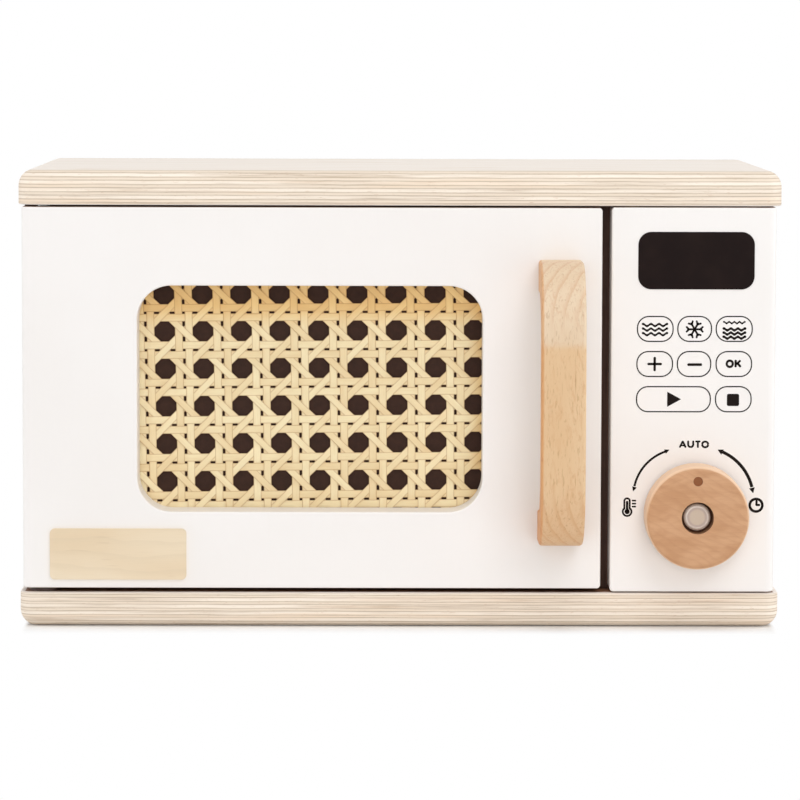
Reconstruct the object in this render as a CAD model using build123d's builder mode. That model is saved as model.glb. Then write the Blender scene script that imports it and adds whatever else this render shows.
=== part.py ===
from build123d import *
from math import hypot
import os

# A wooden toy microwave oven. Two plywood slabs carry a left side, a divider, a right side, a back and
# a control panel. A door with a woven-cane window turns on two pins at the left, and a dial with a
# click wheel turns in the control panel. A turntable lies on the oven's floor.
# Millimetres. The origin is the centre of the base's underside: +X right, +Y back, +Z up.

# Case
case_width = 324.0
case_depth = 165.0
inner_height = 165.0  # clear height between the two slabs
slab_thickness = 15.0
slab_round = 7.0  # rounding of the slabs' corners and outer edges
edge_break = 0.8  # small rounding of every other visible edge
left_setback = 1.5  # left side, and the door's left edge, from the slabs' end
right_setback = 2.3
side_thickness = 12.0
back_thickness = 5.0
back_setback = 1.5
corner_round = 3.5  # front corner of the door at the left and of the control panel at the right

# Control panel and divider
panel_width = 70.0
panel_thickness = 18.0
panel_seam = 0.5  # above and below the control panel
board_corner = 1.6  # corners of the door and the control panel beside the gap between them
panel_lap = 4.2  # divider's front edge behind the control panel
door_gap = 4.0  # between the door and the control panel
door_stop_width = 6.8  # divider's front edge behind the door
display_width = 49.3
display_height = 24.3
display_round = 5.5
display_thickness = 1.2
display_proud = 0.2
display_top_margin = 10.9
display_shift = 0.9  # centre, to the right of the panel's centre

# Door
door_clearance = 0.5  # between the door's back and the divider that stops it
door_top_gap = 0.8
door_float = 0.3  # between the door and the washer that carries it
left_stile = 49.0
right_stile = 50.5
bottom_rail = 32.7
top_rail = 33.3
window_radius = 14.5
pivot_inset = 9.0  # pivot axis from the door's left edge
swing_clearance = 0.6
pin_radius = 2.5
pin_length = 22.0
pin_seat = 10.0  # length of a hinge pin in its slab
hinge_washer_radius = 6.5
hinge_washer_thickness = 1.5
magnet_radius = 2.5
magnet_thickness = 3.0

# Cane window
cane_thickness = 1.5
cane_rim = 10.0  # how far the cane and its backing lap the door around the window
cane_pitch_x = 16.63
cane_pitch_z = 16.16
cane_shift_x = 3.3  # the weave is a little off the window's centre
cane_shift_z = 3.4
cane_hole_width = 8.8
cane_hole_height = 8.5
cane_hole_corner = 3.2
backing_thickness = 3.0

# Handle
handle_width = 18.6
handle_length = 120.4
handle_reach = 40.0  # out from the door's face
handle_sag = 3.3  # how much lower the crown is at the ends
handle_end_round = 28.0
handle_edge_round = 1.5
handle_inset = 8.4  # from the door's right edge
handle_drop = 1.0  # centre, below the door's centre
grip_length = 92.0
grip_clearance = 27.0
grip_round = 18.0

# Blank plaque
plaque_width = 58.0
plaque_height = 21.8
plaque_thickness = 1.2
plaque_round = 2.0
plaque_left_margin = 11.7
plaque_bottom_margin = 3.7

# Dial
knob_radius = 21.9
knob_thickness = 16.0
knob_round = 1.8
dial_height = 34.1  # axis above the oven's floor
dial_shift = 1.05  # axis, to the right of the panel's centre
cup_radius = 6.8
cup_depth = 7.5
dot_radius = 2.0
dot_depth = 0.5
dot_offset = 15.6
axle_radius = 3.0
cap_radius = 5.75
cap_height = 3.4
cap_round = 1.6
cap_socket = 1.2
dial_washer_radius = 9.0
dial_washer_thickness = 1.5
click_wheel_radius = 12.0
click_wheel_thickness = 5.0
click_count = 12
click_notch_radius = 2.0
click_notch_depth = 1.4
retainer_radius = 6.0
retainer_thickness = 1.2
axle_tail = 2.0  # axle behind its retainer

# Click spring
spring_gauge = 0.5
spring_width = 5.5
spring_foot_width = 10.0
spring_foot_height = 12.0
spring_foot_drop = 5.0  # top of the foot, below the click wheel
spring_tip = 6.0  # blade above the dial's axis
spring_bump_radius = 1.6
spring_bump_gap = 0.2

# Turntable
turntable_margin = 4.5
turntable_thickness = 6.0
turntable_lip = 6.0
turntable_recess = 1.5
turntable_pin_radius = 3.0
turntable_pin_seat = 8.0
turntable_bore_depth = 3.5
turntable_washer_radius = 10.0
turntable_washer_thickness = 1.5

# Screws and dowels
fixing_inset = 20.0  # screws and dowels of the uprights, from their front and back edges
dowel_radius = 3.0
dowel_length = 24.0
dowel_seat = 10.0  # length of a dowel in its slab
panel_dowel_length = 20.0
panel_dowel_inset = 9.0
head_recess = 0.3
base_screw_length = 34.0
base_screw_radius = 2.0
back_screw_length = 18.0
back_screw_radius = 1.5
back_screw_inset = 15.0
sunk_head_ratio = 1.9  # head radius over shank radius of a countersunk screw
handle_screw_length = 28.0
handle_screw_radius = 2.0
handle_screw_sink = 4.0  # depth of the counterbore in the door's back
backing_screw_length = 12.0
backing_screw_radius = 1.3
spring_screw_length = 7.0
spring_screw_radius = 1.3
pan_head_ratio = 2.0
pan_head_height = 1.4
recess_reach = 1.1  # arm of a screw head's cross recess over the shank radius
recess_width = 0.55  # width of the recess's slots over the shank radius
recess_depth = 1.0

# Clearances
fit_gap = 0.05  # around every pin, dowel and screw in its hole
turn_gap = 0.3  # between faces that turn past each other
bottom_gap = 0.5  # under the end of a dowel, pin or screw in a blind hole

# Levels and edges that several pieces share
front_y = -case_depth / 2
back_y = case_depth / 2 - back_setback
back_front_y = back_y - back_thickness
floor_z = slab_thickness
ceiling_z = floor_z + inner_height
left_x = -case_width / 2 + left_setback
right_x = case_width / 2 - right_setback
panel_left_x = right_x - panel_width
panel_back_y = front_y + panel_thickness
panel_middle_x = (panel_left_x + right_x) / 2
door_right_x = panel_left_x - door_gap
divider_left_x = door_right_x - door_stop_width
divider_right_x = panel_left_x + panel_lap
door_back_y = panel_back_y - door_clearance
door_thickness = door_back_y - front_y
door_bottom_z = floor_z + hinge_washer_thickness + door_float
door_top_z = ceiling_z - door_top_gap
door_middle_z = (door_bottom_z + door_top_z) / 2
pivot_x = left_x + pivot_inset
pivot_y = (front_y + door_back_y) / 2
corner_reach = hypot(pivot_inset - corner_round, door_thickness / 2 - corner_round) + corner_round
left_front_y = pivot_y + corner_reach + swing_clearance

upright_middles = (
    left_x + side_thickness / 2,
    (divider_left_x + divider_right_x) / 2,
    right_x - side_thickness / 2,
)
fixing_rows = (left_front_y + fixing_inset, back_front_y - fixing_inset)
fixing_places = [(x, y) for x in upright_middles for y in fixing_rows]
panel_dowel_places = [
    (panel_left_x + panel_dowel_inset, (front_y + panel_back_y) / 2),
    (right_x - panel_dowel_inset, (front_y + panel_back_y) / 2),
]
back_screw_rows = (
    floor_z + back_screw_inset,
    (floor_z + ceiling_z) / 2,
    ceiling_z - back_screw_inset,
)
back_screw_places = [(x, z) for x in upright_middles for z in back_screw_rows]

window_left_x = left_x + left_stile
window_right_x = door_right_x - right_stile
window_bottom_z = door_bottom_z + bottom_rail
window_top_z = door_top_z - top_rail
window_width = window_right_x - window_left_x
window_height = window_top_z - window_bottom_z
window_x = (window_left_x + window_right_x) / 2
window_z = (window_bottom_z + window_top_z) / 2
cane_back_y = door_back_y + cane_thickness
backing_back_y = cane_back_y + backing_thickness
backing_screw_spacing = (window_width / 2 + cane_rim / 2, window_height + cane_rim)
hole_columns = 1 + 2 * int(window_width / 2 / cane_pitch_x)
hole_rows = 2 * int(window_height / 2 / cane_pitch_z + 0.5)

handle_right_x = door_right_x - handle_inset
handle_left_x = handle_right_x - handle_width
handle_x = (handle_left_x + handle_right_x) / 2
handle_z = door_middle_z - handle_drop
foot_offset = (handle_length + grip_length) / 4  # from the handle's centre to a foot's centre
magnet_x = door_right_x - door_stop_width / 2

dial_x = panel_middle_x + dial_shift
dial_z = floor_z + dial_height
knob_back_y = front_y - dial_washer_thickness - turn_gap
knob_front_y = knob_back_y - knob_thickness
cup_floor_y = knob_front_y + cup_depth
axle_front_y = cup_floor_y - cap_socket
wheel_front_y = panel_back_y + turn_gap
wheel_back_y = wheel_front_y + click_wheel_thickness
axle_back_y = wheel_back_y + retainer_thickness + axle_tail
notch_floor_radius = click_wheel_radius - click_notch_depth
spring_bump_x = dial_x - notch_floor_radius - spring_bump_gap - spring_bump_radius
spring_left_x = spring_bump_x - spring_gauge
spring_foot_top_z = dial_z - click_wheel_radius - spring_foot_drop
spring_screw_x = spring_left_x - (spring_foot_width - spring_gauge) / 2
spring_screw_z = spring_foot_top_z - spring_foot_height / 2

cavity_x = (left_x + side_thickness + divider_left_x) / 2
cavity_y = (backing_back_y + back_front_y) / 2
turntable_radius = (back_front_y - backing_back_y) / 2 - turntable_margin
turntable_z = floor_z + turntable_washer_thickness + turn_gap


def front_plane(x, y, z):
    """Plane at the given point whose normal points out of the front, -Y, with +Z up."""
    return Plane(origin=(x, y, z), x_dir=(1, 0, 0), z_dir=(0, -1, 0))


def block(low, high):
    """Box between two opposite corners, added to the part that is being built."""
    with Locations(tuple((a + b) / 2 for a, b in zip(low, high))):
        Box(*[b - a for a, b in zip(low, high)])


def rod(radius, length, mode=Mode.ADD):
    """Cylinder that rises along the local Z axis from the current place."""
    Cylinder(radius, length, align=(Align.CENTER, Align.CENTER, Align.MIN), mode=mode)


def cross_recess(radius, z):
    """Cross recess of a screw head, cut from height z up into the screw that is being built."""
    for turn in (0, 90):
        with Locations(Location((0, 0, z), (0, 0, turn))):
            Box(
                2 * recess_reach * radius,
                recess_width * radius,
                recess_depth,
                align=(Align.CENTER, Align.CENTER, Align.MIN),
                mode=Mode.SUBTRACT,
            )


def sunk_screw(radius, length, gap=0.0):
    """Countersunk wood screw along +Z, its flat head at the origin. A gap gives its hole's shape."""
    head = radius * sunk_head_ratio
    rim = head_recess
    with BuildPart() as screw:
        with BuildSketch(Plane.XZ):
            with BuildLine():
                Polyline(
                    (0, -gap and -2 * head_recess),
                    (head + gap, -gap and -2 * head_recess),
                    (head + gap, rim),
                    (radius + gap, rim + head - radius),
                    (radius + gap, length - radius),
                    (0, length + (bottom_gap if gap else 0)),
                    close=True,
                )
            make_face()
        revolve(axis=Axis.Z)
        if not gap:
            cross_recess(radius, 0)
    return screw.part


def pan_screw(radius, length):
    """Pan-head screw along +Z, the underside of its head at the origin."""
    with BuildPart() as screw:
        rod(radius, length)
        with Locations((0, 0, -pan_head_height)):
            rod(radius * pan_head_ratio, pan_head_height)
        fillet(screw.edges().group_by(Axis.Z)[0], pan_head_height / 2)
        chamfer(screw.edges().group_by(Axis.Z)[-1], radius / 2)
        cross_recess(radius, -pan_head_height)
    return screw.part


def upright(low, high):
    """Board between the slabs with its bottom screw holes, top dowel sockets and back screw holes."""
    x = (low[0] + high[0]) / 2
    with BuildPart() as board:
        block(low, high)
        with Locations(*[(x, y, head_recess) for y in fixing_rows]):
            add(sunk_screw(base_screw_radius, base_screw_length, fit_gap), mode=Mode.SUBTRACT)
        with Locations(*[(x, y, ceiling_z + dowel_seat - dowel_length - bottom_gap) for y in fixing_rows]):
            rod(dowel_radius + fit_gap, dowel_length + bottom_gap, Mode.SUBTRACT)
        with Locations(*[Location((x, back_y - head_recess, z), (90, 0, 0)) for z in back_screw_rows]):
            add(sunk_screw(back_screw_radius, back_screw_length, fit_gap), mode=Mode.SUBTRACT)
    return board.part


def save(part, name):
    """Label a finished piece and write it."""
    part.label = name
    export_step(part, f"parts/{name}.step")


# Slabs: their corners and outer edges are well rounded, and the edges that face each other are crisp
outer_round = min(slab_round, slab_thickness - 2 * edge_break)

with BuildPart() as base_slab:
    block((-case_width / 2, front_y, 0), (case_width / 2, case_depth / 2, slab_thickness))
    fillet(base_slab.edges().filter_by(Axis.Z), outer_round)
    fillet(base_slab.edges().group_by(Axis.Z)[0], outer_round)
    fillet(base_slab.edges().group_by(Axis.Z)[-1], edge_break)
    with Locations(*[(x, y, head_recess) for x, y in fixing_places]):
        add(sunk_screw(base_screw_radius, base_screw_length, fit_gap), mode=Mode.SUBTRACT)
    with Locations((pivot_x, pivot_y, floor_z - pin_seat)):
        rod(pin_radius + fit_gap, pin_seat, Mode.SUBTRACT)
    with Locations((cavity_x, cavity_y, floor_z - turntable_pin_seat)):
        rod(turntable_pin_radius + fit_gap, turntable_pin_seat, Mode.SUBTRACT)
    with Locations(*[(x, y, floor_z - dowel_seat - bottom_gap) for x, y in panel_dowel_places]):
        rod(dowel_radius + fit_gap, dowel_seat + bottom_gap, Mode.SUBTRACT)
save(base_slab.part, "base_slab")

with BuildPart() as top_slab:
    block(
        (-case_width / 2, front_y, ceiling_z),
        (case_width / 2, case_depth / 2, ceiling_z + slab_thickness),
    )
    fillet(top_slab.edges().filter_by(Axis.Z), outer_round)
    fillet(top_slab.edges().group_by(Axis.Z)[-1], outer_round)
    fillet(top_slab.edges().group_by(Axis.Z)[0], edge_break)
    with Locations((pivot_x, pivot_y, ceiling_z)):
        rod(pin_radius + fit_gap, pin_seat, Mode.SUBTRACT)
    with Locations(*[(x, y, ceiling_z) for x, y in fixing_places + panel_dowel_places]):
        rod(dowel_radius + fit_gap, dowel_seat + bottom_gap, Mode.SUBTRACT)
save(top_slab.part, "top_slab")

# Uprights. The left side stands far enough back for the door's corner to turn in front of it
left_side_panel = upright(
    (left_x, left_front_y, floor_z),
    (left_x + side_thickness, back_front_y, ceiling_z),
)
save(left_side_panel, "left_side_panel")

right_side_panel = upright(
    (right_x - side_thickness, panel_back_y, floor_z),
    (right_x, back_front_y, ceiling_z),
)
save(right_side_panel, "right_side_panel")

with BuildPart() as divider_panel:
    add(
        upright(
            (divider_left_x, panel_back_y, floor_z),
            (divider_right_x, back_front_y, ceiling_z),
        )
    )
    with Locations(Location((magnet_x, panel_back_y, door_middle_z), (-90, 0, 0))):
        rod(magnet_radius + fit_gap, magnet_thickness + fit_gap, Mode.SUBTRACT)
save(divider_panel.part, "divider_panel")

with BuildPart() as back_panel:
    block((left_x, back_front_y, floor_z), (right_x, back_y, ceiling_z))
    with Locations(*[Location((x, back_y - head_recess, z), (90, 0, 0)) for x, z in back_screw_places]):
        add(sunk_screw(back_screw_radius, back_screw_length, fit_gap), mode=Mode.SUBTRACT)
save(back_panel.part, "back_panel")

# Control panel with its display and the dial's bore
display_x = panel_middle_x + display_shift
display_z = ceiling_z - display_top_margin - display_height / 2
display_depth = display_thickness - display_proud

with BuildPart() as control_panel:
    block(
        (panel_left_x, front_y, floor_z + panel_seam),
        (right_x, panel_back_y, ceiling_z - panel_seam),
    )
    front_corners = control_panel.edges().filter_by(Axis.Z).group_by(Axis.Y)[0].sort_by(Axis.X)
    fillet(front_corners[-1], corner_round)
    fillet(control_panel.edges().filter_by(Axis.Y).group_by(Axis.X)[0], board_corner)
    front_edges = control_panel.faces().sort_by(Axis.Y)[0].edges()
    fillet(front_edges.sort_by(Axis.X)[0], edge_break)
    with BuildSketch(front_plane(display_x, front_y + display_depth, display_z)):
        RectangleRounded(
            display_width + 2 * fit_gap,
            display_height + 2 * fit_gap,
            display_round + fit_gap,
        )
    extrude(amount=display_depth, mode=Mode.SUBTRACT)
    with Locations(Location((dial_x, panel_back_y, dial_z), (90, 0, 0))):
        rod(axle_radius + fit_gap, panel_thickness, Mode.SUBTRACT)
    with Locations(Location((spring_screw_x, panel_back_y, spring_screw_z), (90, 0, 0))):
        rod(spring_screw_radius + fit_gap, spring_screw_length + bottom_gap, Mode.SUBTRACT)
    for x, y in panel_dowel_places:
        reach = panel_dowel_length - dowel_seat + bottom_gap
        with Locations((x, y, floor_z), (x, y, ceiling_z - reach)):
            rod(dowel_radius + fit_gap, reach, Mode.SUBTRACT)
save(control_panel.part, "control_panel")

with BuildPart() as display_plate:
    with BuildSketch(front_plane(display_x, front_y + display_depth, display_z)):
        RectangleRounded(display_width, display_height, display_round)
    extrude(amount=display_thickness)
save(display_plate.part, "display_plate")

# Door: a frame around the window, with its pin bores, and a full round beside the pivot at the back
backing_screw_grid = [
    (window_x + i * backing_screw_spacing[0], window_z + k * backing_screw_spacing[1] / 2)
    for i in (-1, 0, 1)
    for k in (-1, 1)
]
handle_screw_rows = (handle_z - foot_offset, handle_z + foot_offset)
pin_reach = pin_length - pin_seat  # hinge pin outside its slab

with BuildPart() as door_panel:
    block((left_x, front_y, door_bottom_z), (door_right_x, door_back_y, door_top_z))
    corners = door_panel.edges().filter_by(Axis.Z).group_by(Axis.X)
    fillet(corners[0].sort_by(Axis.Y)[0], corner_round)
    corners = door_panel.edges().filter_by(Axis.Z).group_by(Axis.X)
    fillet(corners[0].sort_by(Axis.Y)[-1], door_thickness / 2)
    fillet(door_panel.edges().filter_by(Axis.Y).group_by(Axis.X)[-1], board_corner)
    fillet(door_panel.faces().sort_by(Axis.Y)[0].edges().group_by(Axis.Z)[-1], edge_break)
    with BuildSketch(front_plane(window_x, door_back_y, window_z)):
        RectangleRounded(window_width, window_height, window_radius)
    extrude(amount=door_thickness, mode=Mode.SUBTRACT)
    window_rim = [
        edge
        for edge in door_panel.faces().sort_by(Axis.Y)[0].edges()
        if window_left_x - 1 < edge.center().X < window_right_x + 1
        and window_bottom_z - 1 < edge.center().Z < window_top_z + 1
    ]
    fillet(window_rim, edge_break)
    with Locations((pivot_x, pivot_y, door_bottom_z)):
        rod(pin_radius + fit_gap, floor_z + pin_reach + bottom_gap - door_bottom_z, Mode.SUBTRACT)
    with Locations((pivot_x, pivot_y, ceiling_z - pin_reach - bottom_gap)):
        rod(pin_radius + fit_gap, pin_reach + bottom_gap - door_top_gap, Mode.SUBTRACT)
    with Locations(Location((magnet_x, door_back_y, door_middle_z), (90, 0, 0))):
        rod(magnet_radius + fit_gap, magnet_thickness + fit_gap, Mode.SUBTRACT)
    with Locations(*[Location((handle_x, door_back_y, z), (90, 0, 0)) for z in handle_screw_rows]):
        rod(handle_screw_radius + fit_gap, door_thickness, Mode.SUBTRACT)
        rod(handle_screw_radius * pan_head_ratio + turn_gap, handle_screw_sink, Mode.SUBTRACT)
    with Locations(*[Location((x, door_back_y, z), (90, 0, 0)) for x, z in backing_screw_grid]):
        reach = backing_screw_length - cane_thickness - backing_thickness + bottom_gap
        rod(backing_screw_radius + fit_gap, reach, Mode.SUBTRACT)
save(door_panel.part, "door_panel")

# Cane, with one eight-sided hole for each mesh of the weave, and the board behind it
with BuildPart() as cane_panel:
    with BuildSketch(front_plane(window_x, cane_back_y, window_z)):
        Rectangle(window_width + 2 * cane_rim, window_height + 2 * cane_rim)
        with Locations(*[(x - window_x, z - window_z) for x, z in backing_screw_grid]):
            Circle(backing_screw_radius + fit_gap, mode=Mode.SUBTRACT)
        with Locations((cane_shift_x, cane_shift_z)):
            with GridLocations(cane_pitch_x, cane_pitch_z, hole_columns, hole_rows):
                half_width = cane_hole_width / 2
                half_height = cane_hole_height / 2
                Polygon(
                    (half_width, half_height - cane_hole_corner),
                    (half_width - cane_hole_corner, half_height),
                    (cane_hole_corner - half_width, half_height),
                    (-half_width, half_height - cane_hole_corner),
                    (-half_width, cane_hole_corner - half_height),
                    (cane_hole_corner - half_width, -half_height),
                    (half_width - cane_hole_corner, -half_height),
                    (half_width, cane_hole_corner - half_height),
                    align=None,
                    mode=Mode.SUBTRACT,
                )
    extrude(amount=cane_thickness)
save(cane_panel.part, "cane_panel")

with BuildPart() as cane_backing:
    with BuildSketch(front_plane(window_x, backing_back_y, window_z)):
        Rectangle(window_width + 2 * cane_rim, window_height + 2 * cane_rim)
        with Locations(*[(x - window_x, z - window_z) for x, z in backing_screw_grid]):
            Circle(backing_screw_radius + fit_gap, mode=Mode.SUBTRACT)
    extrude(amount=backing_thickness)
save(cane_backing.part, "cane_backing")

with BuildPart() as backing_screws:
    with Locations(*[Location((x, backing_back_y, z), (90, 0, 0)) for x, z in backing_screw_grid]):
        add(pan_screw(backing_screw_radius, backing_screw_length))
save(backing_screws.part, "backing_screws")

# Handle: a bow on two feet, held by two screws from the door's back
handle_plane = Plane(origin=(handle_left_x, front_y, handle_z), x_dir=(0, 0, 1), z_dir=(1, 0, 0))
screw_reach = handle_screw_length + handle_screw_sink - door_thickness

with BuildPart() as door_handle:
    with BuildSketch(handle_plane) as bow:
        end = handle_length / 2
        shoulder = handle_reach - handle_sag
        with BuildLine():
            Polyline((-end, shoulder), (-end, 0), (end, 0), (end, shoulder))
            ThreePointArc((end, shoulder), (0, handle_reach), (-end, shoulder))
        make_face()
        fillet(bow.vertices().group_by(Axis.Y)[-1], handle_end_round)
        RectangleRounded(grip_length, 2 * grip_clearance, grip_round, mode=Mode.SUBTRACT)
    extrude(amount=handle_width)
    long_edges = [
        edge
        for face in door_handle.faces().filter_by(Axis.X)
        for edge in face.edges()
        if edge.center().Y < front_y - edge_break
    ]
    fillet(long_edges, handle_edge_round)
    with Locations(*[Location((handle_x, front_y, z), (90, 0, 0)) for z in handle_screw_rows]):
        rod(handle_screw_radius + fit_gap, screw_reach + bottom_gap, Mode.SUBTRACT)
save(door_handle.part, "door_handle")

with BuildPart() as handle_screws:
    seat_y = door_back_y - handle_screw_sink
    with Locations(*[Location((handle_x, seat_y, z), (90, 0, 0)) for z in handle_screw_rows]):
        add(pan_screw(handle_screw_radius, handle_screw_length))
save(handle_screws.part, "handle_screws")

# Hinge pins, their washer and the two magnets that keep the door shut
with BuildPart() as lower_hinge_pin:
    with Locations((pivot_x, pivot_y, floor_z - pin_seat)):
        rod(pin_radius, pin_length)
    chamfer(lower_hinge_pin.edges().group_by(Axis.Z)[-1], edge_break / 2)
save(lower_hinge_pin.part, "lower_hinge_pin")

with BuildPart() as upper_hinge_pin:
    with Locations((pivot_x, pivot_y, ceiling_z - pin_reach)):
        rod(pin_radius, pin_length)
    chamfer(upper_hinge_pin.edges().group_by(Axis.Z)[0], edge_break / 2)
save(upper_hinge_pin.part, "upper_hinge_pin")

with BuildPart() as hinge_washer:
    with Locations((pivot_x, pivot_y, floor_z)):
        rod(hinge_washer_radius, hinge_washer_thickness)
        rod(pin_radius + fit_gap, hinge_washer_thickness, Mode.SUBTRACT)
save(hinge_washer.part, "hinge_washer")

with BuildPart() as door_magnet:
    with Locations(Location((magnet_x, door_back_y, door_middle_z), (90, 0, 0))):
        rod(magnet_radius, magnet_thickness)
save(door_magnet.part, "door_magnet")

with BuildPart() as case_magnet:
    with Locations(Location((magnet_x, panel_back_y, door_middle_z), (-90, 0, 0))):
        rod(magnet_radius, magnet_thickness)
save(case_magnet.part, "case_magnet")

# Bare plaque at the door's lower left
plaque_x = left_x + plaque_left_margin + plaque_width / 2
plaque_z = door_bottom_z + plaque_bottom_margin + plaque_height / 2

with BuildPart() as blank_plaque:
    with BuildSketch(front_plane(plaque_x, front_y, plaque_z)):
        RectangleRounded(plaque_width, plaque_height, plaque_round)
    extrude(amount=plaque_thickness)
save(blank_plaque.part, "blank_plaque")

# Dial: the knob, its axle and cap, and behind the panel the click wheel and its retainer
with BuildPart(front_plane(dial_x, knob_back_y, dial_z)) as dial_knob:
    rod(knob_radius, knob_thickness)
    fillet(dial_knob.edges().group_by(Axis.Y)[0], knob_round)
    fillet(dial_knob.edges().group_by(Axis.Y)[-1], edge_break)
    rod(axle_radius + fit_gap, knob_thickness, Mode.SUBTRACT)
    with Locations((0, 0, knob_thickness - cup_depth)):
        rod(cup_radius, cup_depth, Mode.SUBTRACT)
    with Locations((0, dot_offset, knob_thickness - dot_depth)):
        rod(dot_radius, dot_depth, Mode.SUBTRACT)
save(dial_knob.part, "dial_knob")

with BuildPart(front_plane(dial_x, axle_back_y, dial_z)) as dial_axle:
    rod(axle_radius, axle_back_y - axle_front_y)
save(dial_axle.part, "dial_axle")

with BuildPart(front_plane(dial_x, cup_floor_y, dial_z)) as dial_cap:
    rod(cap_radius, cap_height)
    fillet(dial_cap.edges().group_by(Axis.Y)[0], cap_round)
    rod(axle_radius + fit_gap, cap_socket + fit_gap, Mode.SUBTRACT)
save(dial_cap.part, "dial_cap")

with BuildPart(front_plane(dial_x, front_y, dial_z)) as dial_washer:
    rod(dial_washer_radius, dial_washer_thickness)
    rod(axle_radius + fit_gap, dial_washer_thickness, Mode.SUBTRACT)
save(dial_washer.part, "dial_washer")

with BuildPart() as click_wheel:
    with BuildSketch(front_plane(dial_x, wheel_back_y, dial_z)):
        Circle(click_wheel_radius)
        Circle(axle_radius + fit_gap, mode=Mode.SUBTRACT)
        with PolarLocations(notch_floor_radius + click_notch_radius, click_count):
            Circle(click_notch_radius, mode=Mode.SUBTRACT)
    extrude(amount=click_wheel_thickness)
save(click_wheel.part, "click_wheel")

with BuildPart(front_plane(dial_x, wheel_back_y + retainer_thickness, dial_z)) as axle_retainer:
    rod(retainer_radius, retainer_thickness)
    rod(axle_radius + fit_gap, retainer_thickness, Mode.SUBTRACT)
save(axle_retainer.part, "axle_retainer")

# Click spring: a foot screwed to the panel's back and a blade whose bump lies in the wheel's notch
with BuildPart() as click_spring:
    block(
        (spring_left_x, panel_back_y, spring_foot_top_z - spring_foot_height),
        (spring_bump_x, panel_back_y + spring_width, dial_z + spring_tip),
    )
    block(
        (spring_bump_x - spring_foot_width, panel_back_y, spring_foot_top_z - spring_foot_height),
        (spring_bump_x, panel_back_y + spring_gauge, spring_foot_top_z),
    )
    with Locations(Location((spring_bump_x, wheel_back_y, dial_z), (90, 0, 0))):
        rod(spring_bump_radius, click_wheel_thickness)
    with Locations(Location((spring_screw_x, panel_back_y + spring_gauge, spring_screw_z), (90, 0, 0))):
        rod(spring_screw_radius + fit_gap, spring_gauge, Mode.SUBTRACT)
save(click_spring.part, "click_spring")

with BuildPart() as click_spring_screw:
    with Locations(Location((spring_screw_x, panel_back_y + spring_gauge, spring_screw_z), (90, 0, 0))):
        add(pan_screw(spring_screw_radius, spring_screw_length))
save(click_spring_screw.part, "click_spring_screw")

# Turntable on its pin and washer
with BuildPart() as turntable_plate:
    with Locations((cavity_x, cavity_y, turntable_z)):
        rod(turntable_radius, turntable_thickness)
        rod(turntable_pin_radius + fit_gap, turntable_bore_depth, Mode.SUBTRACT)
    fillet(turntable_plate.edges().group_by(Axis.Z)[-1], edge_break)
    with Locations((cavity_x, cavity_y, turntable_z + turntable_thickness - turntable_recess)):
        rod(turntable_radius - turntable_lip, turntable_recess, Mode.SUBTRACT)
save(turntable_plate.part, "turntable_plate")

with BuildPart() as turntable_pin:
    with Locations((cavity_x, cavity_y, floor_z - turntable_pin_seat)):
        rod(
            turntable_pin_radius,
            turntable_pin_seat + turntable_z + turntable_bore_depth - turn_gap - floor_z,
        )
save(turntable_pin.part, "turntable_pin")

with BuildPart() as turntable_washer:
    with Locations((cavity_x, cavity_y, floor_z)):
        rod(turntable_washer_radius, turntable_washer_thickness)
        rod(turntable_pin_radius + fit_gap, turntable_washer_thickness, Mode.SUBTRACT)
save(turntable_washer.part, "turntable_washer")

# Fixings of the case
with BuildPart() as base_screws:
    with Locations(*[(x, y, head_recess) for x, y in fixing_places]):
        add(sunk_screw(base_screw_radius, base_screw_length))
save(base_screws.part, "base_screws")

with BuildPart() as top_dowels:
    with Locations(*[(x, y, ceiling_z + dowel_seat - dowel_length) for x, y in fixing_places]):
        rod(dowel_radius, dowel_length)
save(top_dowels.part, "top_dowels")

with BuildPart() as panel_dowels:
    for x, y in panel_dowel_places:
        with Locations((x, y, floor_z - dowel_seat), (x, y, ceiling_z + dowel_seat - panel_dowel_length)):
            rod(dowel_radius, panel_dowel_length)
save(panel_dowels.part, "panel_dowels")

with BuildPart() as back_screws:
    with Locations(*[Location((x, back_y - head_recess, z), (90, 0, 0)) for x, z in back_screw_places]):
        add(sunk_screw(back_screw_radius, back_screw_length))
save(back_screws.part, "back_screws")
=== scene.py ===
"""Looks of a wooden toy microwave oven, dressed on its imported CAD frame.

Everything is in metres in the frame of the CAD: the origin is under the middle of the base, +X is
right, +Y is back and +Z is up, and the front faces -Y. The sizes of the classes are millimetres.
"""

import logging
import math
from collections.abc import Callable, Sequence
from dataclasses import dataclass, field
from enum import Enum
from functools import partial
from typing import TypeAlias

import bmesh
import bpy
from mathutils import Matrix, Vector


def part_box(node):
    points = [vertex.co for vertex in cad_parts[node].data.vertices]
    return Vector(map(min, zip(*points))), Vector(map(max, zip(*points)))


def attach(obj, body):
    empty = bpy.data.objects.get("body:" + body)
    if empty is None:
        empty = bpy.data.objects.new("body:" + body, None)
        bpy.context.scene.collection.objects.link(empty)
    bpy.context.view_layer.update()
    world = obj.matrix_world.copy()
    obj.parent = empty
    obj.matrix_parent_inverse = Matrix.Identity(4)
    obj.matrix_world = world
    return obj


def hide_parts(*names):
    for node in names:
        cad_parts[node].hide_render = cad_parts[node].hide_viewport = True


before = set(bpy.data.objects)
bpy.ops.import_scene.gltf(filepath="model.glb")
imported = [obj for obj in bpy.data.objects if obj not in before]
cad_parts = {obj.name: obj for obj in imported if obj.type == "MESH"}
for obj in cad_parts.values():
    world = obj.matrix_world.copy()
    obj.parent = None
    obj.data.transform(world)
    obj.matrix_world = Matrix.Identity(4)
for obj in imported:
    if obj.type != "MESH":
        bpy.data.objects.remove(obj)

MM = 0.001
DIAL = (125.75, 49.1)  # X and Z of the dial's axis in millimetres
FIBRE_SHARE = 0.04  # share of a fibre pattern's cycles that is left along the fibres
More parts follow.
